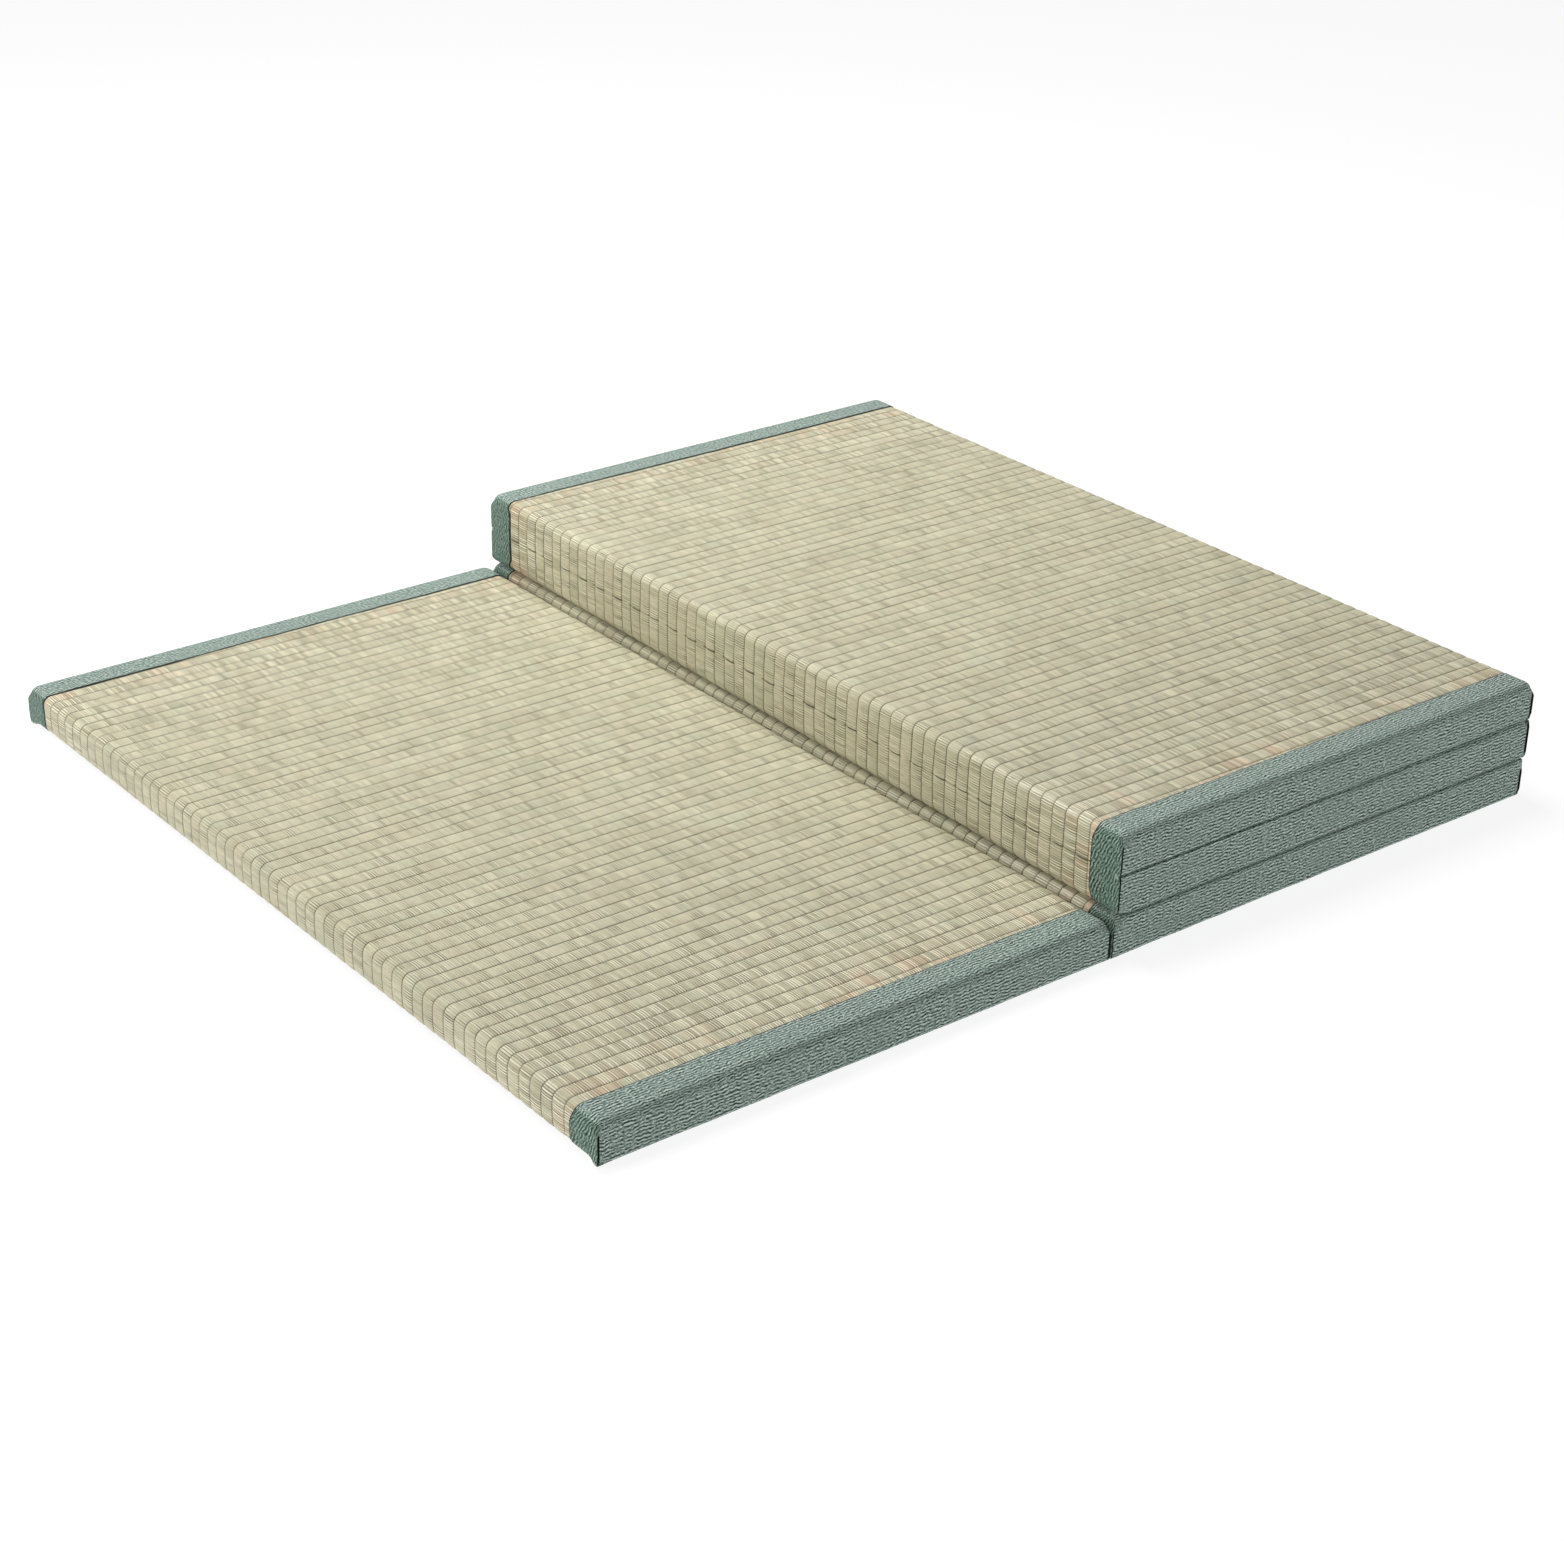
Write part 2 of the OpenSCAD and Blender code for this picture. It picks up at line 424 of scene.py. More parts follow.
def rush_material():
    """Rush stems laid side by side, bound down along a groove at each rib."""
    m = Shader("woven_rush", sheen=0.05, specular=0.3)
    s, y, _ = m.uv("straw")

    # Ribs, with a groove on both sides of each, and the stems that lie across them
    rib = m.plus(m.over(y, RIB), 0.5)
    number = m.math("FLOOR", rib)
    from_groove = m.times(m.math("PINGPONG", rib, 0.5), RIB)
    shift = m.times(m.dice(number, 3.7), 50.0)
    lean = m.times(m.noise(m.over(s, 9.0), number), 1.8)
    stem = m.over(m.plus(m.plus(s, shift), lean), STEM)
    stem_number = m.math("FLOOR", stem)
    in_stem = m.math("PINGPONG", stem, 0.5)
    tone = m.dice(stem_number, number)

    # Patches where the stems lie looser, which are more frequent toward the bindings
    loose = m.noise(m.over(s, 13.0), m.over(y, 19.0), 2.0, detail=2.0)
    by_end = m.span(m.math("ABSOLUTE", y), 230.0, 440.0)
    loose = m.plus(loose, m.times(by_end, 0.12))
    loose = m.span(loose, 0.4, 0.66)

    # Straw colour, with green and warm patches
    fibre = m.noise(m.times(s, 1.7), m.over(y, 9.0), number, detail=2.0)
    cloud = m.noise(m.over(s, 75.0), m.over(y, 50.0), 8.0, detail=2.0)
    mixed = m.plus(m.times(cloud, 0.3), m.times(fibre, 0.7))
    colour = m.ramp(
        mixed,
        (0.30, (180, 175, 146)),
        (0.50, (203, 198, 169)),
        (0.70, (223, 218, 189)),
    )
    green = m.noise(m.over(s, 40.0), m.over(y, 30.0), 9.0, detail=2.0)
    colour = m.blend(m.span(green, 0.48, 0.72, 0.0, 0.25), colour, (178, 194, 164))
    warm = m.span(m.noise(m.over(s, 26.0), number, 5.5, detail=1.0), 0.45, 0.7)
    near_binding = m.span(m.math("ABSOLUTE", y), 395.0, 436.0, 0.2, 1.3)
    warm = m.times(m.times(warm, near_binding), 0.6)
    colour = m.blend(warm, colour, (212, 186, 154))

    # Single stems that are lighter or duller, and a painted highlight on stems where they bend round
    # an edge
    # Lighter stems come from a random tone, with a painted highlight along the middle of each stem
    light = m.times(m.span(tone, 0.35, 0.8), m.span(loose, 0.0, 1.0, 0.12, 0.42))
    light = m.times(light, m.span(in_stem, 0.2, 0.42))
    light = m.times(light, m.plus(by_end, 1.0))
    colour = m.blend(light, colour, (252, 245, 220))
    dull = m.times(m.span(tone, 0.35, 0.1), m.span(loose, 0.0, 1.0, 0.1, 0.3))
    colour = m.blend(dull, colour, (158, 146, 112))
    # Painted highlight on the stems at the cover's sharp bends, from its bend mark
    bend_highlight = m.times(m.attribute("wear"), m.span(m.dice(number, 4.4), 0.3, 0.6, 0.1, 0.5))
    colour = m.blend(m.times(bend_highlight, m.span(fibre, 0.35, 0.6)), colour, (255, 252, 236))

    # Painted shade in the gaps between stems, and in the grooves where the warp threads draw them
    # down
    gap = m.span(m.dice(stem_number, number, 2.2), 0.2, 0.75)
    gap = m.times(gap, m.span(loose, 0.0, 1.0, 0.5, 1.0))
    rare = m.math("GREATER_THAN", m.dice(stem_number, number, 9.1), 0.985)
    gap = m.math("MAXIMUM", gap, m.times(rare, 2.0))
    gap = m.times(gap, m.span(in_stem, 0.0, 0.23, 1.15, 0.0))
    dots = m.span(in_stem, 0.0, 0.45, 1.0, 0.62)
    firm = m.span(m.dice(number, 6.6), 0.0, 1.0, 0.7, 1.0)
    groove = m.times(m.span(from_groove, 0.25, 1.0, 1.0, 0.0), m.times(dots, firm))
    dark = m.math("MAXIMUM", m.times(gap, 0.95), m.times(groove, 0.95))
    colour = m.blend(dark, colour, (64, 56, 38))

    height = m.plus(m.times(m.span(in_stem, 0.0, 0.35), 0.14), m.times(fibre, 0.05))
    height = m.plus(height, m.times(tone, 0.1))
    height = m.minus(height, m.times(groove, 0.25))
    rough = m.span(fibre, 0.3, 0.7, 0.5, 0.7)
    return m.finish(colour, height, rough)


def binding_material():
    """Green crepe cloth: broken wavy rows along its weft, with a fine weave between them."""
    m = Shader("binding_cloth", sheen=0.12, specular=0.2)
    along, across, _ = m.uv("cloth")

    # Rows that wave and bend, each broken into strokes
    sway = m.noise(m.over(along, 6.5), m.over(across, 12.0), detail=1.0)
    bend = m.noise(m.over(along, 2.6), m.over(across, 2.6), 3.0, detail=1.0)
    line = m.plus(m.over(across, ROW), m.times(sway, 1.3))
    line = m.plus(line, m.times(bend, 0.3))
    row = m.math("FLOOR", line)
    from_row = m.math("PINGPONG", line, 0.5)
    stroke = m.noise(m.over(along, 5.0), m.times(row, 4.3), 1.0, detail=1.0)
    stroke = m.span(stroke, 0.36, 0.62)
    valley = m.times(m.span(from_row, 0.03, 0.32, 1.0, 0.0), stroke)
    crest = m.times(m.span(from_row, 0.22, 0.46), stroke)

    # The slubs and yarns of the weave
    fine_line = m.times(line, 2.0)
    slub = m.noise(m.over(along, 2.8), fine_line, 5.0, detail=3.0, rough=0.65)
    yarn = m.math("PINGPONG", m.over(line, 0.21), 0.5)
    pick = m.math("PINGPONG", m.over(along, 0.7), 0.5)
    tone = m.plus(m.math("MULTIPLY_ADD", slub, 1.2, -0.135), m.times(crest, 0.22))
    tone = m.minus(tone, m.times(valley, 0.36))
    tone = m.plus(tone, m.times(m.plus(yarn, pick), 0.08))
    colour = m.ramp(
        tone,
        (0.20, (30, 50, 44)),
        (0.36, (86, 107, 99)),
        (0.50, (138, 159, 149)),
        (0.70, (212, 226, 216)),
    )

    # Uneven dye, greener side wraps, and painted shade inside the hem and the slits
    cloud = m.noise(m.over(along, 60.0), m.over(across, 40.0), 6.0)
    colour = m.blend(m.span(cloud, 0.4, 0.75, 0.0, 0.2), colour, (126, 146, 140))
    left_wrap = m.math("LESS_THAN", along, 0.0)
    right_wrap = m.math("GREATER_THAN", along, pads[1].width)
    wrap = m.plus(left_wrap, right_wrap)
    colour = m.blend(m.times(wrap, 0.7), colour, (150, 178, 160), "MULTIPLY")
    colour = m.blend(m.attribute("shade"), colour, (10, 15, 13))
    height = m.plus(m.times(slub, 0.4), m.times(yarn, 0.1))
    height = m.minus(height, m.times(valley, 0.42))
    height = m.plus(height, m.times(pick, 0.08))
    return m.finish(colour, height, m.span(slub, 0.3, 0.7, 0.95, 0.75))


def plain_cloth_material(name, dark, light, pitch=0.8):
    """A plain-woven cloth, with its yarns a pitch apart."""
    m = Shader(name, sheen=0.1, specular=0.15)
    x, y, z = m.place()
    over = m.math("PINGPONG", m.over(x, pitch), 0.5)
    under = m.math("PINGPONG", m.over(y, pitch), 0.5)
    weave = m.times(over, under)
    fuzz = m.noise(m.over(x, 1.5), m.over(y, 1.5), z, detail=3.0)
    cloud = m.noise(m.over(x, 45.0), m.over(y, 45.0), z, detail=2.0)
    tone = m.plus(m.times(fuzz, 0.5), m.times(cloud, 0.3))
    tone = m.plus(tone, m.times(weave, 0.9))
    colour = m.ramp(tone, (0.3, dark), (0.75, light))
    height = m.plus(m.times(weave, 0.5), m.times(fuzz, 0.15))
    return m.finish(colour, height, m.span(cloud, 0.3, 0.7, 0.85, 0.95))


def thread_material(name, dark, light):
    """Twisted sewing thread."""
    m = Shader(name, sheen=0.2, specular=0.35)
    x, y, z = m.place()
    twist = m.plus(m.plus(x, y), m.times(z, 2.0))
    ply = m.math("PINGPONG", m.over(twist, 0.8), 0.5)
    fuzz = m.noise(x, y, z, detail=2.0)
    tone = m.plus(ply, m.times(fuzz, 0.5))
    colour = m.ramp(tone, (0.2, dark), (0.8, light))
    return m.finish(colour, m.times(ply, 0.25), m.span(fuzz, 0.3, 0.7, 0.5, 0.7))


def felt_material():
    """Needled felt, off-white, with flecks."""
    m = Shader("needled_felt", sheen=0.2, specular=0.1)
    x, y, z = m.place()
    tuft = m.noise(m.over(x, 1.2), m.over(y, 1.2), m.over(z, 1.2), detail=4.0)
    hair = m.noise(x, y, z, detail=3.0, warp=2.5)
    needle = m.dice(m.math("FLOOR", m.over(x, 3.0)), m.math("FLOOR", m.over(y, 3.0)))
    tone = m.plus(m.times(tuft, 0.6), m.times(hair, 0.4))
    colour = m.ramp(tone, (0.3, (196, 190, 176)), (0.7, (236, 232, 220)))
    fleck = m.times(m.math("GREATER_THAN", needle, 0.96), 0.4)
    colour = m.blend(fleck, colour, (120, 128, 140))
    return m.finish(colour, m.times(tone, 0.6), m.span(tuft, 0.3, 0.7, 0.88, 0.98))


def board_material():
    """Pressed wood-fibre board."""
    m = Shader("fibre_board", sheen=0.0, specular=0.2)
    x, y, z = m.place()
    chip = m.noise(m.over(x, 6.0), m.over(y, 2.0), m.over(z, 0.8), detail=4.0)
    grain = m.noise(x, y, m.times(z, 2.0), detail=3.0)
    tone = m.plus(m.times(chip, 0.65), m.times(grain, 0.35))
    colour = m.ramp(tone, (0.3, (128, 96, 62)), (0.5, (168, 134, 94)), (0.72, (198, 168, 128)))
    return m.finish(colour, m.times(tone, 0.35), m.span(grain, 0.3, 0.7, 0.78, 0.95))


RUSH = rush_material()
BINDING = binding_material()
# The backing's grey-lilac is its own colour, darkened as painted shade for the shaded line at the
# pads' feet
BACKING = plain_cloth_material("backing_cloth", (96, 92, 106), (148, 142, 158))
FOLD_TAPE = plain_cloth_material("fold_tape", (104, 100, 72), (160, 154, 120))
SEAM = thread_material("seam_thread", (12, 26, 20), (36, 58, 46))
FOLD_THREAD = thread_material("fold_thread", (44, 44, 28), (92, 90, 62))
TACK = thread_material("tack_thread", (168, 188, 176), (226, 236, 228))
FELT = felt_material()
BOARD = board_material()


def dress(obj, material):
    obj.data.materials.clear()
    obj.data.materials.append(material)
    return obj


# ---- sheets round a pad


def shell(name, pad, outer, inner, inner_rows, uv_name, uv, **marks):
    """A thin closed sheet from an outer grid and an inner one, which may have fewer rows.
    Each grid is rows x columns x (u, y, h). uv gives a pair for each outer vertex."""
    top = grid_of(outer)
    under = grid_of(inner, top.size)
    start = np.stack([top[0, 1:], top[0, :-1], under[0, :-1], under[0, 1:]], 1)
    end = np.stack([under[-1, 1:], under[-1, :-1], top[-1, :-1], top[-1, 1:]], 1)
    faces = np.concatenate([quads(top), quads(under)[:, ::-1], start, end]).tolist()
    for k, (first, last) in enumerate(zip(inner_rows[:-1], inner_rows[1:])):
        for column, turn in ((0, -1), (-1, 1)):
            side = [under[k, column], under[k + 1, column], *top[first:last + 1, column][::-1]]
            faces.append([int(v) for v in side[::turn]])
    faces = pad.outward(faces)
    flat = np.concatenate([outer.reshape(-1, 3), inner.reshape(-1, 3)])
    every = np.concatenate([uv.reshape(-1, 2), uv[inner_rows].reshape(-1, 2)])
    corners = np.array([v for f in faces for v in f])
    placed = pad.place(flat[:, 0], flat[:, 1], flat[:, 2])
    marks = {mark: np.append(values, values[inner_rows]) for mark, values in marks.items()}
    return add_object(name, placed, faces, every[corners], uv_name, **marks)


def binding_mouth(pad, u, h):
    """How far in from the pad's end the binding reaches, which is more on the walls."""
    wall = ease(pad.thick - 3, pad.thick - 16, h) * ease(14, 2, np.minimum(u, pad.width - u))
    wave = 0.5 * lumps(u + h, pad.number * 11.0, 60, 5) + 0.25 * lumps(u + h, 3.0, 17, 6)
    return pad.reach - 1 + wave + WALL_REACH * wall


def wall_bulge(pad, u, h):
    """How far the pad's walls belly out at mid height, or at the stitched fold of pads 3 and 4."""
    wall = ease(12, 1, np.minimum(u, pad.width - u))
    level = np.clip(h / pad.thick, 0, 1)
    at_middle = np.sin(np.pi * level) ** 1.5
    at_fold = np.cos(np.pi / 2 * level) ** 1.5
    return BULGE * wall * np.where((u < pad.width / 2) & pad.stitched, at_fold, at_middle)


def rush_cover(pad):
    """The woven mat over the pad's face and walls, with a relief for each rib."""
    start = pad.length_at(pad.fold_r if pad.stitched else RUSH_FOOT, far_side=False)
    end = pad.far_edge(RUSH_FOOT, RUSH_UNDER_FACE)
    s, u, h, nu, nh = pad.strip_of_outline(start, end, step=4.0)
    if pad.stitched:
        h = h - MEET_RUSH * ease(8, 0, s)

    # Rows of points: the same few places across every rib, and the mat's two ends
    first = -math.ceil(pad.mat_end / RIB)
    y = np.array([(k + p - 0.5) * RIB for k in range(first, 1 - first) for p in ROW_PHASES])
    y = y[np.abs(y) < pad.mat_end - 1]
    y = np.concatenate([[-pad.mat_end], y, [pad.mat_end]])
    length, along = np.meshgrid(s, y)
    u, h, nu, nh = (np.broadcast_to(x, along.shape) for x in (u, h, nu, nh))

    # Depth under the pad's outline: flat-topped ribs, uneven, and pressed down at the bindings
    rib = np.floor(along / RIB + 0.5)
    phase = along / RIB + 0.5 - rib
    relief = 0.6 * (1 - np.abs(2 * phase - 1) ** 5) + 0.4 * np.sin(np.pi * phase)
    seed = RUSH_SEED + pad.number
    uneven = 0.1 + 0.14 * lumps(length, rib * 97, 22, seed)
    uneven = uneven + 0.1 * lumps(length, along, 90, seed + 4)
    free = CROWN_DEPTH + GROOVE * (1 - relief) + uneven
    past_mouth = pad.half_length - np.abs(along) - binding_mouth(pad, u, h)
    depth = mix(PRESSED_DEPTH, free, ease(0.8, 4.5, past_mouth))
    depth = depth - wall_bulge(pad, u, h)

    # The grooves sway a little, and all slant together
    sways = [lumps(length, groove * 53, 40, seed + 8) for groove in (rib, rib + 1)]
    sway = mix(*sways, phase)
    slant = WEAVE_SLANT * -pad.across * (u - SLANT_FROM)
    wavy = along + (0.6 * sway + slant) * ease(pad.mat_end, pad.mat_end - 20, np.abs(along))
    outer = np.stack([u - nu * depth, wavy, h - nh * depth], axis=-1)

    # The underside needs only one row for each rib
    inner_rows = np.unique(np.append(np.arange(0, len(y), len(ROW_PHASES)), len(y) - 1))
    under = MAT_UNDERSIDE - wall_bulge(pad, u, h)
    inner = np.stack([u - nu * under, wavy, h - nh * under], axis=-1)[inner_rows]
    uv = np.stack([length, along], axis=-1)
    # Where the painted highlight goes: the sharp bends on the fold side, toward the near end
    highlight_at_bend = (2 * np.abs(nu * nh)) ** 5 * ease(-250, -360, along) * (u < pad.width / 2)
    name = f"rush_cover_{pad.number}"
    cover = shell(name, pad, outer, inner, inner_rows, "straw", uv, wear=highlight_at_bend)
    dress(cover, RUSH)
    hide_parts(f"rush_mat_{pad.number}")
    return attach(cover, pad.body)


def backing_sheet(pad):
    """Thin cloth under the pad, turned a little way up its walls."""
    s, _ = pad.outline()
    start = pad.far_edge(BACKING_FOOT, BACKING_UNDER_FACE)
    turn_up = pad.width / 2 - 1 if pad.stitched else pad.length_at(BACKING_FOOT, far_side=False)
    end = s[-1] + turn_up
    length, u, h, nu, nh = pad.strip_of_outline(start, end, step=9.0, bend_steps=3.0)
    y = np.linspace(-pad.mat_end, pad.mat_end, 95)
    length, along = np.meshgrid(length, y)
    u, h, nu, nh = (np.broadcast_to(x, along.shape) for x in (u, h, nu, nh))
    edge = ease(0, 30, np.minimum(length, length.max() - length))
    wrinkle = 0.12 * edge * lumps(u, along, 24, BACKING_SEED + pad.number)
    depth = BACKING_DEPTH + wrinkle - wall_bulge(pad, u, h)
    outer = np.stack([u - nu * depth, along, h - nh * depth], axis=-1)
    under = depth + BACKING_T
    inner = np.stack([u - nu * under, along, h - nh * under], axis=-1)
    uv = np.stack([length, along], axis=-1)
    sheet = shell(f"backing_sheet_{pad.number}", pad, outer, inner, np.arange(len(y)), "cloth", uv)
    dress(sheet, BACKING)
    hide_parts(f"backing_cloth_{pad.number}")
    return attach(sheet, pad.body)


# ---- cloth caps on the ends


def graded(length, step, fine):
    """Marks from 0 to length: the fine ones near both ends, and even steps between."""
    count = int(round((length - 2 * fine[-1]) / step))
    middle = np.linspace(fine[-1], length - fine[-1], count + 1)[1:-1]
    return np.concatenate([fine, middle, length - np.array(fine)[::-1]])


def slit_top(pad):
    """The slit at a pad's upright corners stops short of its face, and pad 3's is longer."""
    return pad.thick - 4 if pad.number == 3 else SLIT_TOP


def soft_box(pad, u, v, h, inset):
    """Where a point on the sharp box round a pad's end lies on the soft pad, at a depth."""
    w, t = pad.width, pad.thick
    by_wall = ease(16, 5, np.minimum(u, w - u))
    by_end = ease(16, 5, v)
    high = ease(0.36 * t, 0.64 * t, h)
    far_side = u > w / 2
    wall_low = np.where(far_side, EDGE_R, pad.fold_r)
    wall_high = np.where(far_side, pad.far_top_r, EDGE_R)
    wall_r = mix(wall_low, wall_high, high)
    end_low = END_R_BACK
    if pad.stitched:
        end_low = mix(END_R_BACK, END_R_OPEN, ease(0.1 * w, 0.9 * w, u))
    end_r = mix(end_low, END_R_PRESSED if pad.middle else END_R_FACE, high)
    post_r = mix(POST_R, wall_high, ease(slit_top(pad) - 3, slit_top(pad) + 6, h))
    radii = [mix(wall_r, post_r, by_end), mix(end_r, post_r, by_wall), mix(end_r, wall_r, by_wall)]
    radii = [np.maximum(r - inset, 0.35) for r in radii]
    lows = (inset, inset, inset)
    highs = (w - inset, np.inf, t - inset)
    out, turn = [], []
    for p, r, lo, hi in zip((u, v, h), radii, lows, highs):
        p = np.clip(p, lo, hi)
        core = np.clip(p, lo + r, hi - r)
        out.append(core)
        turn.append((p - core) / r)
    size = np.maximum(np.sqrt(sum(x * x for x in turn)), 1e-9)
    where = [core + r * x / size for core, r, x in zip(out, radii, turn)]
    facing = [x / size / r for r, x in zip(radii, turn)]
    norm = np.maximum(np.sqrt(sum(x * x for x in facing)), 1e-9)
    return np.stack(where, -1), np.stack([x / norm for x in facing], -1)


def slit(pad, u, v, h):
    """The slit at a pad's upright corners, as how far each point moves outward across the
    folds and in from the end, and how deep it lies. The end face starts past the slit, and the
    side wrap's edge stands straight beside it. In the crease the wraps swell till they meet."""
    from_wall = np.minimum(u, pad.width - u)
    in_crease = (u < pad.width / 2) & (not pad.stitched)
    below_top = ease(slit_top(pad) + 1.5, slit_top(pad) - 1.5, h)
    on_end = (v < 1e-6) * below_top
    width = np.where(in_crease, CREASE_SLIT_WIDTH, SLIT_WIDTH)
    deep = on_end * ease(0.3, 0.5, from_wall) * ease(0.2, 0, from_wall - width)
    roll = 1.1 * np.clip(1 - (from_wall - width) / 4, 0, 1) ** 2 * ease(0, 0.3, from_wall - width)
    shift = np.where(in_crease, CREASE_FLARE, 0.25) * np.exp(-((v / 6) ** 2)) * below_top
    shift = shift * np.interp(from_wall, [0, 1.5, 6], [1, 0.55, 0])
    # Painted shade inside the slit, reaching up its far wall
    dark = on_end * ease(0.2, 0.3, from_wall) * ease(0.6, 0.2, from_wall - width)
    return shift, SLIT_DEPTH * deep + on_end * roll, dark


def cap_surface(pad, end, u, v, h, inset):
    """A point of a cloth cap. The cloth puckers along its seam and waves a little."""
    mouth = binding_mouth(pad, u, h)
    v_true = np.where(v > 12, 12 + (v - 12) * (mouth - 12) / (pad.reach - 12), v)
    at, facing = soft_box(pad, u, v_true, h, inset)
    out, back, shade = slit(pad, u, v_true, h)
    at[:, 0] += np.where(u < pad.width / 2, -out, out)
    at[:, 1] += back
    seed = CAP_SEED + 2 * pad.number + (end > 0)
    around = u + np.where(u > pad.width / 2, 1, -1) * (pad.thick - h)
    stitch = 0.5 - 0.5 * np.cos(2 * np.pi * around / EDGE_STITCH)
    at_seam = ease(5, 0, mouth - v_true)
    on_end = ease(3, 0, v_true)
    soft = ease(0, 10, np.minimum(u, pad.width - u)) * ease(0, 6, h) * ease(0, 6, pad.thick - h)
    waves = 0.5 + 0.5 * lumps(u, h, 38, seed) + 0.25 * lumps(u, h, 13, seed + 9)
    sink = 0.16 * stitch * at_seam + on_end * soft * waves
    sink = sink - wall_bulge(pad, u, h) * ease(6, 20, v_true)
    at = at - facing * sink[..., None]
    if pad.stitched:
        at[:, 2] -= MEET_CLOTH * ease(6, 0, h) * ease(4, 0.5, u)
    foot = ease(7, 0, h) * on_end
    at[:, 1] += foot * (0.5 + 0.5 * lumps(u, 7.0, 33, seed + 30))
    at[:, 2] += foot * (0.4 + 0.4 * lumps(u, 7.0, 26, seed + 20))
    return at, shade


LEFT, TOP, RIGHT, BOTTOM, END = range(5)


def cloth_uv(pad, u, v, h):
    """Place on the cap's one strip of cloth, along its slubs and across them, for each side."""
    down = pad.thick - h
    side_down = pad.thick + h if pad.number in FACE_DOWN else down
    lean = v - WEAVE_LEAN * side_down
    sides = {
        LEFT: (-side_down, lean),
        TOP: (u, v),
        RIGHT: (pad.width + side_down, lean),
        BOTTOM: (u, v),
        END: (u, -down),
    }
    return np.stack([np.stack(sides[side], -1) for side in range(len(sides))])


def cloth_cap(pad, end):
    """The green cloth over one end of a pad: end face, side wraps, top and bottom strips."""
    w, t = pad.width, pad.thick
    us = graded(w, 4.0, [0, 0.3, 0.5, 0.9, 1.3, 1.5, 1.9, 2.3, 2.5, 2.9, 3.5, 4.4, 5.6, 7.2, 9, 11])
    hs = graded(t, 2.0, [0, 0.5, 1.1, 1.8, 2.7, 4, 6, 8])
    vs = [0, 0.35, 0.8, 1.4, 2.2, 3.2, 4.5, 6, 8, 10, 12.5, 15, 18, 21, 24, 27, 29, 30.5, 31.4, 32]
    vs = np.array(vs) * pad.reach / vs[-1]
    left = [(0, h) for h in hs[:-1]]
    top = [(u, t) for u in us[:-1]]
    right = [(w, h) for h in hs[:0:-1]]
    bottom = [(u, 0) for u in us[:0:-1]]
    sides = (left, top, right, bottom)
    ring = np.array(sum(sides, []), float)
    side_of = np.repeat([LEFT, TOP, RIGHT, BOTTOM], [len(side) for side in sides])
    n = len(ring)

    # Points of the sharp box: rings from the end inward, then the inside of the end face
    tube = np.array([[(u, v, h) for u, h in ring] for v in vs])
    inside = np.array([[(u, 0, h) for u in us[1:-1]] for h in hs[1:-1]])
    sharp = np.concatenate([tube.reshape(-1, 3), inside.reshape(-1, 3)])
    count = len(sharp)
    tube_index = grid_of(tube)
    panel = np.full((len(hs), len(us)), -1)
    panel[1:-1, 1:-1] = grid_of(inside, len(vs) * n)
    left_end, top_end, right_end = np.cumsum([len(left), len(top), len(right)])
    panel[:, 0] = np.arange(left_end + 1)
    panel[-1, :] = np.arange(left_end, top_end + 1)
    panel[:, -1] = np.arange(top_end, right_end + 1)[::-1]
    panel[0, :] = np.append(np.arange(right_end, n), 0)[::-1]
    skin = np.concatenate([quads(tube_index, closed=True), quads(panel)])
    kinds = np.tile(side_of, len(vs) - 1)
    kinds = np.append(kinds, np.full(len(skin) - len(kinds), END))

    # The same skin twice, a cloth's thickness apart, joined by a rolled hem
    outer, shade = cap_surface(pad, end, *sharp.T, 0.0)
    inner, _ = cap_surface(pad, end, *sharp.T, CLOTH)
    hem = []
    for share in (0.15, 0.5, 0.85):
        rolled = mix(outer[tube_index[-1]], inner[tube_index[-1]], share)
        rolled[:, 1] += 0.9 * math.sqrt(share * (1 - share))
        hem.append(rolled)
    hem_index = 2 * count + np.arange(3 * n).reshape(3, n)
    rolled_index = np.concatenate([tube_index[-1:], hem_index, tube_index[-1:] + count])
    faces = np.concatenate([skin, skin[:, ::-1] + count, quads(rolled_index, closed=True)])
    kinds = np.concatenate([kinds, kinds, np.tile(side_of, 4)])
    points = np.concatenate([outer, inner, *hem])
    source = np.concatenate([sharp, sharp, np.tile(tube[-1], (3, 1))])
    # Painted shade on the cap's edge and its rolled hem, for the shadow under the folded cloth
    shade[tube_index[-1]] = 0.5
    shade = np.concatenate([shade, shade, np.ones(3 * n)])

    faces = np.array(pad.outward(faces, -end))
    uv = cloth_uv(pad, *source.T)[np.repeat(kinds, 4), faces.ravel()]
    placed = pad.place(points[:, 0], end * (pad.half_length - points[:, 1]), points[:, 2])
    cap = add_object(f"{SIDE[end]}_cloth_cap_{pad.number}", placed, faces.tolist(), uv, shade=shade)
    dress(cap, BINDING)
    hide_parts(f"{SIDE[end]}_binding_{pad.number}")
    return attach(cap, pad.body)


def tube_along(centre, side, up, radius, around=6):
    """Rings of points round a line. side and up span its section at each point, or all of them."""
    side, up = np.broadcast_to(side, centre.shape), np.broadcast_to(up, centre.shape)
    angles = np.linspace(0, 2 * np.pi, around, endpoint=False)[None, :, None]
    across = np.cos(angles) * side[:, None, :] + np.sin(angles) * up[:, None, :]
    return centre[:, None, :] + radius[:, None, None] * across


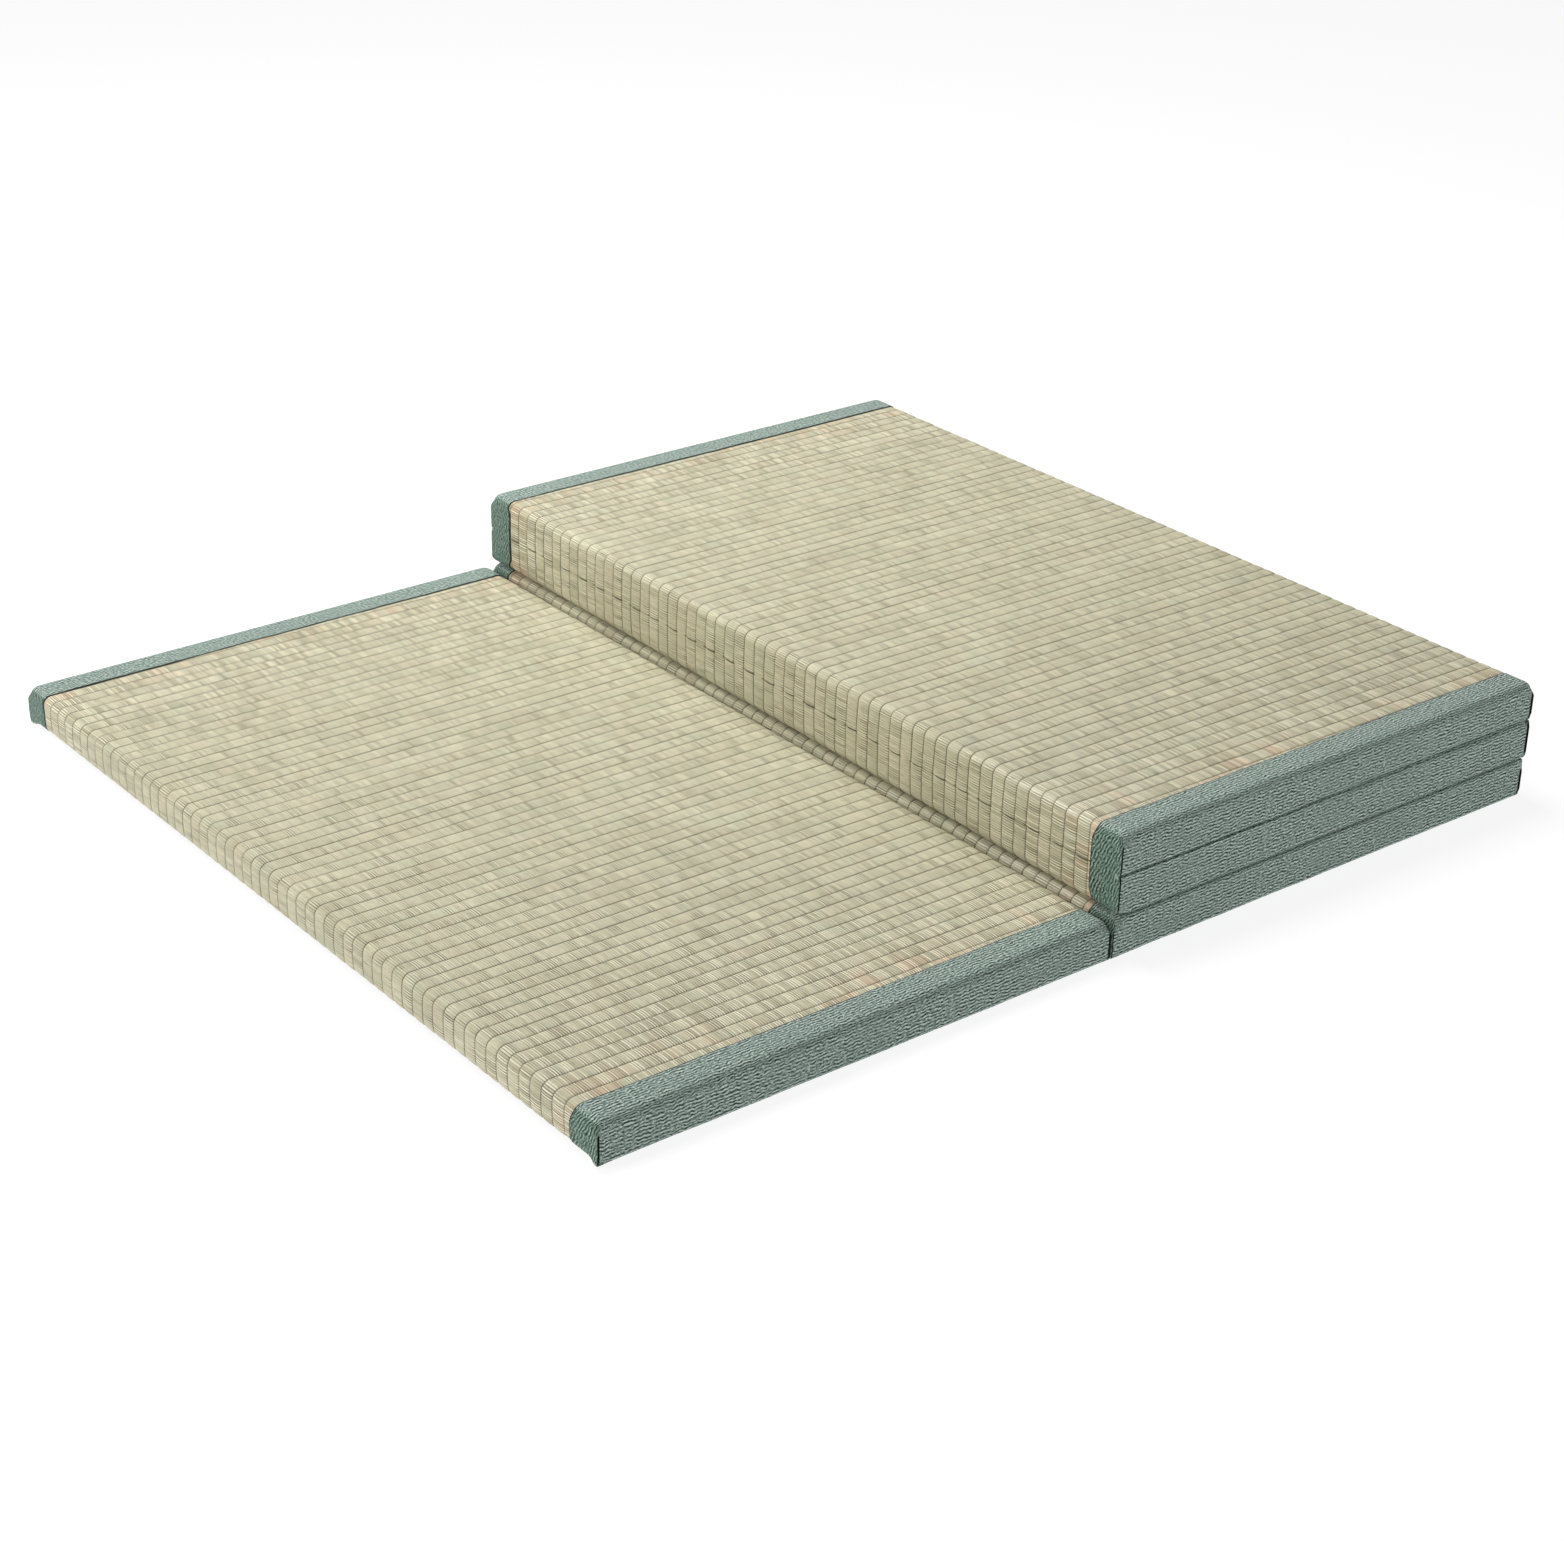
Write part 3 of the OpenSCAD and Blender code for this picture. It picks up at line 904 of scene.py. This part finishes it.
def edge_thread(pad, end):
    """The thread that sews a cap's edge down, in the groove between cloth and rush."""
    length, u, h, nu, nh = pad.strip_of_outline(0, pad.outline()[0][-1], step=1.3, bend_steps=1.0)
    u, h, nu, nh, length = (x[:-1] for x in (u, h, nu, nh, length))
    stitch = np.abs(np.sin(np.pi * length / EDGE_STITCH)) ** 0.5
    y = pad.half_length - binding_mouth(pad, u, h) - THREAD_PAST_EDGE
    depth = THREAD_DEPTH - 0.15 * stitch - wall_bulge(pad, u, h)
    centre = np.stack([u - nu * depth, y, h - nh * depth], -1)
    out = np.stack([nu, 0 * nu, nh], -1)
    rings = tube_along(centre, WAY_Y, out, THREAD_R + 0.12 * stitch)
    index = grid_of(rings)
    faces = quads(np.concatenate([index, index[:1]]), closed=True).tolist()
    points = rings.reshape(-1, 3)
    placed = pad.place(points[:, 0], end * points[:, 1], points[:, 2])
    name = f"{SIDE[end]}_edge_thread_{pad.number}"
    thread = add_object(name, placed, pad.outward(faces, end))
    dress(thread, SEAM)
    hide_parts(f"{SIDE[end]}_seam_thread_{pad.number}")
    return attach(thread, pad.body)


def felt_batt(pad):
    """The soft layer under the mat: crowned, with needle dimples, thinner at its edges."""
    lo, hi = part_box(f"felt_pad_{pad.number}")
    size = [(b - a) / MM for a, b in zip(lo, hi)]
    xs, ys = np.linspace(0, size[0], 76), np.linspace(0, size[1], 131)
    x, y = np.meshgrid(xs, ys)
    edge = np.minimum(np.minimum(x, size[0] - x), np.minimum(y, size[1] - y))
    full = 0.5 * size[2] * (1 - 0.75 * (1 - np.clip(edge / FELT_EDGE, 0, 1)) ** 2.4)
    dimple = 0.1 * lumps(x, y, 15, FELT_SEED + pad.number) + 0.08 * lumps(x, y, 42, FELT_SEED + 10)
    half = full - 0.2 + dimple * ease(0, 12, edge)
    middle = size[2] / 2
    top = np.stack([x, y, middle + half], -1)
    low = np.stack([x, y, middle - half], -1)
    index = grid_of(top)
    rim = np.concatenate([index[0], index[1:, -1], index[-1, -2::-1], index[-2:0:-1, 0]])
    after = np.roll(rim, -1)
    edge_faces = np.stack([rim + x.size, after + x.size, after, rim], 1)
    faces = np.concatenate([quads(index), quads(index)[:, ::-1] + x.size, edge_faces]).tolist()
    points = np.concatenate([top.reshape(-1, 3), low.reshape(-1, 3)]) + np.array(lo) / MM
    batt = add_object(f"felt_batt_{pad.number}", points, faces)
    dress(batt, FELT)
    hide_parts(f"felt_pad_{pad.number}")
    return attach(batt, pad.body)


# ---- folds


def fold_sheet(name, line, thick, span, seed):
    """A strip of cloth along a fold. line is its middle across the fold, as x and z."""
    line = np.asarray(line, float)
    way = np.gradient(line, axis=0)
    way /= np.linalg.norm(way, axis=1)[:, None]
    out = np.stack([-way[:, 1], way[:, 0]], -1)
    ys = np.linspace(-span, span, 121)
    rows = []
    for y in ys:
        ripple = 0.05 * lumps(np.arange(len(line)) * 1.3, y, 9, seed)[:, None]
        a = line + out * (thick / 2 + ripple)
        b = line - out * (thick / 2 - ripple)
        nose = [line[-1] + way[-1] * thick * 0.35]
        tail = [line[0] - way[0] * thick * 0.35]
        section = np.concatenate([a, nose, b[::-1], tail])
        rows.append(np.stack([section[:, 0], np.full(len(section), y), section[:, 1]], -1))
    points = np.array(rows)
    index = grid_of(points)
    faces = quads(index, closed=True)[:, ::-1].tolist()
    faces += [index[0].tolist(), index[-1][::-1].tolist()]
    girth = np.concatenate([[0], np.cumsum(np.linalg.norm(np.diff(points[0], axis=0), axis=1))])
    uv_grid = np.stack(np.meshgrid(girth, ys), -1).reshape(-1, 2)
    corners = np.array([v for f in faces for v in f])
    return add_object(name, points.reshape(-1, 3), faces, uv_grid[corners], "straw")


def u_turn(x_end, x_turn, z, radius, steps=16):
    """The middle line of a strip that comes in, turns back on itself and goes out again."""
    reach = math.copysign(radius, x_turn - x_end)
    centre = x_turn - reach
    legs = np.linspace(x_end, centre, 5)
    angles = np.linspace(0, np.pi, steps)[1:-1]
    low = [(x, z - radius) for x in legs]
    bend = [(centre + reach * math.sin(a), z - radius * math.cos(a)) for a in angles]
    high = [(x, z + radius) for x in legs[::-1]]
    return low + bend + high


def threads(name, lines):
    """One mesh of closed threads. Each line gives its centre, side, up and radius."""
    points, faces, count = [], [], 0
    for line in lines:
        rings = tube_along(*line, around=8)
        index = grid_of(rings, count)
        count += index.size
        points.append(rings.reshape(-1, 3))
        faces += quads(index, closed=True).tolist()
        faces += [index[0][::-1].tolist(), index[-1].tolist()]
    obj = add_object(name, np.concatenate(points), faces)
    work = bmesh.new()
    work.from_mesh(obj.data)
    bmesh.ops.recalc_face_normals(work, faces=work.faces)
    work.to_mesh(obj.data)
    work.free()
    return obj


def stitches(name, at, out, span):
    """A row of stitches along a fold, one over every second rib. Each one rises out of the
    cloth and dives back in."""
    pitch = 2 * RIB
    count = int((2 * span - STITCH) // pitch)
    side = np.array([out[1], 0, -out[0]])
    up = np.array([out[0], 0, out[1]])
    t = np.linspace(-1, 1, 9)
    lift = STITCH_R * (1.3 * (1 - t**2) - 0.9)
    thick = STITCH_R * np.sqrt(np.clip(1.02 - t**4, 0.05, 1))
    lines = []
    for k in range(count + 1):
        wobble = 0.25 * math.sin(k * 2.4)
        centre = np.array([at[0], 0, at[1]]) + np.outer(lift, up) + np.outer(t * wobble, side)
        centre[:, 1] = (k - count / 2) * pitch + t * STITCH / 2
        lines.append((centre, side, up, thick))
    return threads(name, lines)


def middle_of(node):
    lo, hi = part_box(node)
    return (lo + hi) / 2 / MM


def crease_tape():
    """The tape sewn under pads 1 and 2."""
    lo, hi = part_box("fold_tape_1_2")
    z = (lo.z + hi.z) / 2 / MM
    half = hi.x / MM
    fine = [2.6, 2.1, 1.6, 1.2, 0.8, 0.4]
    xs = [-half, -0.6 * half, -0.3 * half] + [-x for x in fine] + [0] + fine[::-1]
    xs += [0.3 * half, 0.6 * half, half]
    tape = fold_sheet("crease_tape_1_2", [(x, z) for x in xs], (hi.z - lo.z) / MM - 0.1, hi.y / MM, 3)
    dress(tape, BACKING)
    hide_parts("fold_tape_1_2")
    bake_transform(tape)
    row = stitches("crease_stitches_1_2", (0, middle_of("fold_stitching_1_2").z), (0, 1), hi.y / MM)
    dress(row, FOLD_THREAD)
    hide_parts("fold_stitching_1_2")
    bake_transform(row)


def turned_strip(name, node, stitch_node, material, way, proud):
    """A strip that turns from the low pad to the high one round the end of the gap between
    them, which is on the way side. Its stitches stand proud of it."""
    lo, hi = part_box(node)
    z = (lo.z + hi.z) / 2 / MM
    outside = (hi.x if way > 0 else lo.x) / MM
    inside = (lo.x if way > 0 else hi.x) / MM
    radius = (hi.z - lo.z) / 2 / MM - STRIP_T / 2
    line = u_turn(inside, outside - way * STRIP_T / 2 + way * STRIP_PROUD, z, radius)
    strip = fold_sheet(name, line[::way], STRIP_T, hi.y / MM, 5)
    dress(strip, material)
    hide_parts(node)
    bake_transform(strip)
    row_name = name.replace("strip", "stitches").replace("tape", "stitches")
    row = stitches(row_name, (outside + way * proud, z), (way, 0), hi.y / MM)
    dress(row, FOLD_THREAD)
    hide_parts(stitch_node)
    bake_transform(row)
    return strip


def bar_tack(end):
    """Three pale stitches that hold pads 3 and 4 together at the end of their fold."""
    pad = pads[4]
    hinge_z = middle_of("fold_tape_3_4").z
    from_end, apart, half_height = 2.6, 1.1, 2.6
    t = np.linspace(-1, 1, 11)
    x = pad.fold_x - 0.45 - 0.3 * np.cos(t * np.pi / 2) + 0.9 * np.abs(t) ** 4
    lines = []
    for k in range(3):
        y = end * (pad.half_length - from_end - apart * k)
        centre = np.stack([x, y + 0.5 * (k - 1) * t, hinge_z + half_height * t], -1)
        lines.append((centre, WAY_Y, WAY_X, np.full(len(t), TACK_R)))
    tack = threads(f"{SIDE[end]}_bar_tack_3_4", lines)
    dress(tack, TACK)
    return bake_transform(tack)


# ---- the whole mattress

for pad in pads.values():
    felt_batt(pad)
    rush_cover(pad)
    backing_sheet(pad)
    cloth_cap(pad, NEAR)
    cloth_cap(pad, FAR)
    edge_thread(pad, NEAR)
    edge_thread(pad, FAR)
    dress(frame["nodes"][f"core_board_{pad.number}"], BOARD)

crease_tape()
turned_strip(
    "face_strip_2_3", "fold_strip_2_3", "fold_stitching_2_3",
    RUSH, way=1, proud=0.35,
)
turned_strip(
    "back_tape_3_4", "fold_tape_3_4", "fold_stitching_3_4",
    FOLD_TAPE, way=-1, proud=0.9,
)
bar_tack(NEAR)
bar_tack(FAR)


# ---- floor, light, camera


def floor():
    """A plain pale floor, bright enough to render white, just under the mattress."""
    mesh = bpy.data.meshes.new("floor")
    half = 12.0
    drop = 0.0002
    corners = [(-half, -half, 0), (half, -half, 0), (half, half, 0), (-half, half, 0)]
    mesh.from_pydata(corners, [], [(0, 1, 2, 3)])
    obj = link("floor", mesh)
    obj.location.z = -drop
    material = bpy.data.materials.new("pale_floor")
    material.use_nodes = True
    shader = material.node_tree.nodes["Principled BSDF"]
    shader.inputs["Base Color"].default_value = (0.25, 0.25, 0.25, 1)
    shader.inputs["Roughness"].default_value = 0.9
    shader.inputs["Specular IOR Level"].default_value = 0.0
    shader.inputs["Emission Color"].default_value = (1, 1, 1, 1)
    shader.inputs["Emission Strength"].default_value = 0.86
    mesh.materials.append(material)


def area_light(name, energy, size, azimuth, elevation, distance):
    """A soft light that looks at the mattress from an azimuth, measured as the camera's is."""
    data = bpy.data.lights.new(name, "AREA")
    data.energy = energy
    data.size = size
    obj = link(name, data)
    back = direction(azimuth, elevation)
    obj.location = back * distance
    obj.rotation_mode = "QUATERNION"
    obj.rotation_quaternion = (-back).to_track_quat("-Z", "Y")


def direction(azimuth, elevation):
    a, e = math.radians(azimuth), math.radians(elevation)
    return Vector((math.sin(a) * math.cos(e), -math.cos(a) * math.cos(e), math.sin(e)))


def world():
    """White light from low down, which fades upward."""
    made = bpy.data.worlds.new("studio")
    made.use_nodes = True
    tree = made.node_tree
    place = tree.nodes.new("ShaderNodeTexCoord")
    parts = tree.nodes.new("ShaderNodeSeparateXYZ")
    fade = tree.nodes.new("ShaderNodeMapRange")
    for socket, value in zip(fade.inputs[1:], (0.0, 0.14, 1.0, 0.2)):
        socket.default_value = value
    tree.links.new(place.outputs["Generated"], parts.inputs[0])
    tree.links.new(parts.outputs["Z"], fade.inputs[0])
    tree.links.new(fade.outputs[0], tree.nodes["Background"].inputs["Strength"])
    tree.nodes["Background"].inputs["Color"].default_value = (1, 1, 1, 1)
    bpy.context.scene.world = made


CAMERA_AZIMUTH = -38.63
CAMERA_ELEVATION = 26.45
CAMERA_ROLL = 1.289
CAMERA_DISTANCE = 2.8766
CAMERA_LENS = 70.7
# Where the camera aims, from the middle of the CAD box
AIM = Vector((-0.0059, -0.0316, -0.0571))


def camera():
    data = bpy.data.cameras.new("camera")
    data.lens = CAMERA_LENS
    data.sensor_width = 36.0
    data.clip_start, data.clip_end = 0.05, 60
    obj = link("camera", data)
    back = direction(CAMERA_AZIMUTH, CAMERA_ELEVATION)
    middle = (cad_box[0] + cad_box[1]) / 2
    right = Vector((0, 0, 1)).cross(back).normalized()
    up = back.cross(right)
    turn = Matrix((right, up, back)).transposed() @ Matrix.Rotation(math.radians(CAMERA_ROLL), 3, "Z")
    obj.matrix_world = Matrix.Translation(middle + AIM + back * CAMERA_DISTANCE) @ turn.to_4x4()
    bpy.context.scene.camera = obj


floor()
world()
area_light("overhead", energy=47, size=1.5, azimuth=176, elevation=68, distance=2.3)
area_light("left", energy=100, size=3.0, azimuth=-116, elevation=25, distance=5.0)
camera()
bpy.context.scene.view_settings.view_transform = "Standard"
